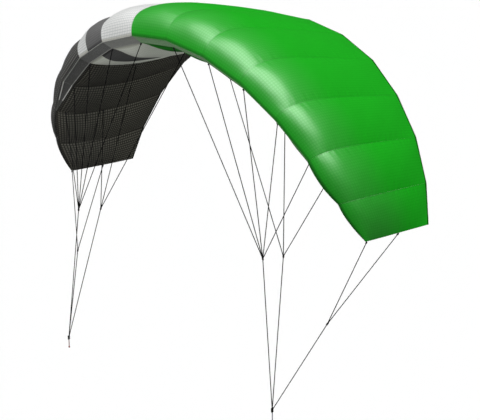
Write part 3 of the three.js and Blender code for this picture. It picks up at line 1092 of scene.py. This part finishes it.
def stopper(top):
    """A turned knob with a flat foot: a profile of radii and heights carried round the Z axis."""
    rows, sides = len(STOPPER_PROFILE), STOPPER_SIDES
    radii, heights = STOPPER_PROFILE[:, None, :1], STOPPER_PROFILE[:, None, 1:]
    a = 2 * math.pi * np.arange(sides) / sides
    around = radii * np.stack([np.cos(a), np.sin(a)], -1)
    ring = np.concatenate([around, np.broadcast_to(heights, (rows, sides, 1))], -1)
    points = (ring + top).reshape(-1, 3)
    faces = grid_faces(rows, sides, flip=True, around=True) + end_faces(len(points), sides)
    flat = np.stack(np.broadcast_arrays(a * STOPPER_RADIUS, heights[..., 0]), -1)
    return points, faces, flat.reshape(-1, 2)


def line(name, start, end, finish="line"):
    """One straight line of the bridle."""
    path = np.linspace(start, end, LINE_STEPS)
    piece = thread_piece(name, [tube(path, LINE_RADIUS)], finish)
    reach = float(np.linalg.norm(end - start))
    return piece


# %% Both bridles
down_z = np.array([0.0, 0.0, -1.0])
total = 0.0
for half, label, pigtail_finish in ((-1, "dark", "red_line"), (1, "green", "blue_line")):
    knots = {key: np.array([x * half, y, z]) * MM - crown for key, (x, y, z) in KNOTS.items()}
    tip_rib = rib_number(half, TIP_RIB)
    ties = {
        "front": [under_rib(rib_number(half, place), FRONT_SHARE) for place in FRONT_RIBS],
        "rear": [under_rib(rib_number(half, place), REAR_SHARE) for place in REAR_RIBS],
        "tip": [beside_tip(tip_rib, share, half) for share in TIP_SHARES],
    }
    tow = knots["tow"]
    for row, tied in ties.items():
        knot = knots[row]
        down = unit(tow - knot)
        wound = winding(knot, down, KNOT_RADIUS - WOUND_DEPTH, KNOT_TURNS)
        knot_piece = thread_piece(f"knot_{row}_{label}", [wound], "line")
        for number, tie in enumerate(tied):
            away = unit(knot - tie["bead"])
            wraps = winding(tie["bead"] + away * WRAP_AT, away, BEAD_RADIUS - WRAP_DEPTH, WRAP_TURNS)
            tab = thread_piece(f"tab_{row}_{label}_{number + 1}", [tab_loop(tie), wraps], "tape")
            own = [tab, knot_piece] if number == 0 else [tab]
            piece = line(f"line_{row}_{label}_{number + 1}", tie["bead"], knot)
            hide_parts(f"bridle_{row}_{label}")
            total += np.linalg.norm(knot - tie["bead"])
        start = knot + down * (KNOT_RADIUS + CAD_GAP)
        main = line(f"main_{row}_{label}", start, tow)
        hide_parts(f"bridle_tow_{label}")
        total += np.linalg.norm(tow - start)
    foot = tow + down_z * PIGTAIL
    wound = winding(tow, -down_z, TOW_RADIUS - WOUND_DEPTH, TOW_TURNS)
    tow_knot = thread_piece(f"knot_tow_{label}", [wound], "line")
    knob = thread_piece(f"stopper_{label}", [stopper(foot)], pigtail_finish)
    end = foot + down_z * STOPPER_HEIGHT / 2
    pigtail = line(f"pigtail_{label}", tow, end, pigtail_finish)
    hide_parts(f"bridle_tow_{label}")
    total += np.linalg.norm(end - tow)
print(f"bridle lines: {total:.2f} m in all")

# %% [markdown]
# ## Floor and light
#
# The kite flies over a plain pale floor, far enough below that its shadow is lost. A wide soft
# lamp overhead lights the cloth. A second one, which only shines in the coating, gives the nose
# its sheen, and a weak one from the green side lifts what faces it. An even glow comes from all
# around and is weaker from below.

# %% Floor
FLOOR_AT = -9.0
FLOOR_HALF = 150.0
FLOOR_TONES = (0.925, 0.945)
FLOOR_MOTTLE = (0.4, 0.01)

floor_points = np.array([(-1, -1, 0), (1, -1, 0), (1, 1, 0), (-1, 1, 0)]) * FLOOR_HALF
floor = make_piece("floor", floor_points + (0, 0, FLOOR_AT), [[0, 1, 2, 3]], smooth=False)
floor_finish = new_finish("pale floor")
speck = floor_finish.noise(*FLOOR_MOTTLE)
darker, paler = ((tone, tone, tone, 1) for tone in FLOOR_TONES)
shade = floor_finish.blend(speck + 0.5, darker, paler)
floor.data.materials.append(
    floor_finish.surface(Base_Color=shade, Roughness=1.0, Specular_IOR_Level=0.0)
)
floor.visible_diffuse = False
floor.visible_glossy = False
print("floor at", FLOOR_AT, "m")

# %% Lights
LAMPS = (
    {"name": "overhead", "strength": 1.65, "width": 80, "glossy": False, "at": (0.0, -0.4, 1.0)},
    {"name": "sheen", "strength": 3.5, "width": 72, "glossy": True, "at": (0.2, -0.5, 0.88)},
    {"name": "side_fill", "strength": 0.95, "width": 6, "glossy": False, "at": (0.58, -0.35, 0.73)},
)
GLOW_ABOVE = 0.36
GLOW_BELOW = 0.26
GLOW_FROM, GLOW_TO = -0.7, 0.2
GLOSSY_SHARE = 0.04

for lamp in LAMPS:
    made = bpy.data.objects.new(lamp["name"], bpy.data.lights.new(lamp["name"], "SUN"))
    made.data.energy = lamp["strength"]
    made.data.angle = math.radians(lamp["width"])
    made.data.use_shadow = lamp["name"] != "side_fill"
    made.rotation_euler = Vector(lamp["at"]).to_track_quat("Z", "Y").to_euler()
    made.visible_glossy = lamp["glossy"]
    made.visible_diffuse = not lamp["glossy"]
    bpy.context.scene.collection.objects.link(made)

world = bpy.data.worlds.new("studio")
bpy.context.scene.world = world
glow = Finish(world)
direction = glow.node("ShaderNodeTexCoord", outputs="Generated")
height_seen = glow.node("ShaderNodeSeparateXYZ", inputs={0: direction}, outputs="Z")
strength = glow.ramp(height_seen, GLOW_FROM, GLOW_TO, GLOW_BELOW, GLOW_ABOVE)
rays = ("Is Camera Ray", "Is Glossy Ray")
by_camera, by_gloss = glow.node("ShaderNodeLightPath", outputs=rays)
strength = strength * (1 - by_gloss * (1 - GLOSSY_SHARE))
shown = strength * (1 - by_camera) + by_camera
backdrop = glow.node("ShaderNodeBackground", inputs={"Color": (1, 1, 1, 1), "Strength": shown})
glow.node("ShaderNodeOutputWorld", inputs={"Surface": backdrop})
bpy.context.scene.view_settings.view_transform = "Standard"
print("light from above", GLOW_ABOVE, "and from below", GLOW_BELOW)
